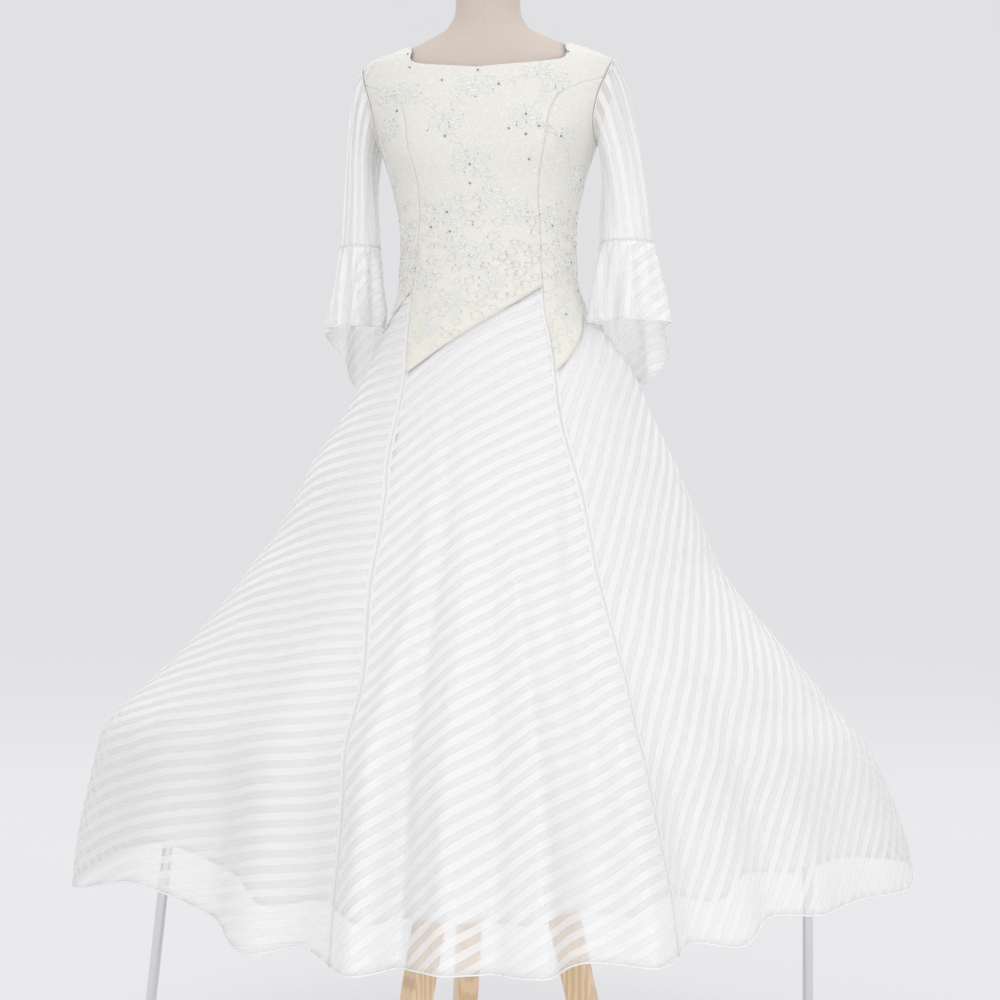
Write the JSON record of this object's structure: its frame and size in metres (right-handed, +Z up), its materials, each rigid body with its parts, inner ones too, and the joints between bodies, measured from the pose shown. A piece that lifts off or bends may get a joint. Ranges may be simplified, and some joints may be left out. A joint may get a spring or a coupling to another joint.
{
  "type": "ballroom dance dress on a limbless linen dress form with a wooden stand and two side stands",
  "caption": "Long ballroom dance dress with a lace bodice, sheer striped full skirt, flounced sleeves and a back zip, shown hollow on a linen form with wooden legs and side stands.",
  "frame": {"origin": "on the floor, under the middle of the bounding box", "axes": "+Z up, front of the dress toward -Y, its left side as seen in the picture toward -X"},
  "size_m": [1.2523, 1.1137, 1.6119],
  "materials": {
    "ivory_lace": "ivory lace with corded flowers over a matching lining",
    "white_stripe": "sheer organza with woven satin stripes",
    "white_lining": "soft matt lining",
    "linen": "plain linen over a firm form",
    "pine": "varnished pine",
    "chrome": "polished",
    "zip_tape": "woven tape with closed coil teeth",
    "zip_metal": "nickel"
  },
  "bodies": {
    "dress": {"form_torso": "linen", "stand_pole": "pine", "stand_hub": "pine", "stand_leg_front_left": "pine", "stand_leg_front_right": "pine", "stand_leg_back": "pine", "side_stand_left": "chrome", "side_stand_right": "chrome", "bodice_front": "ivory_lace", "bodice_side_left": "ivory_lace", "bodice_side_right": "ivory_lace", "bodice_back_left": "ivory_lace", "bodice_back_right": "ivory_lace", "back_zip": "zip_tape", "zip_slider": "zip_metal", "skirt_gore_left": "white_stripe", "skirt_gore_front": "white_stripe", "skirt_gore_right": "white_stripe", "skirt_gore_back": "white_stripe", "underskirt": "white_lining", "sleeve_left": "white_stripe", "sleeve_right": "white_stripe", "flounce_left": "white_stripe", "flounce_right": "white_stripe"},
    "pull": {"zip_pull": "zip_metal"}
  },
  "joints": [
    {"name": "zip_pull_hinge", "type": "hinge", "parent": "dress", "child": "pull", "pos_m": [0.01502, 0.10207, 1.45843], "axis": [0.9848, -0.1736, 0], "range_deg": [0, 150]}
  ]
}
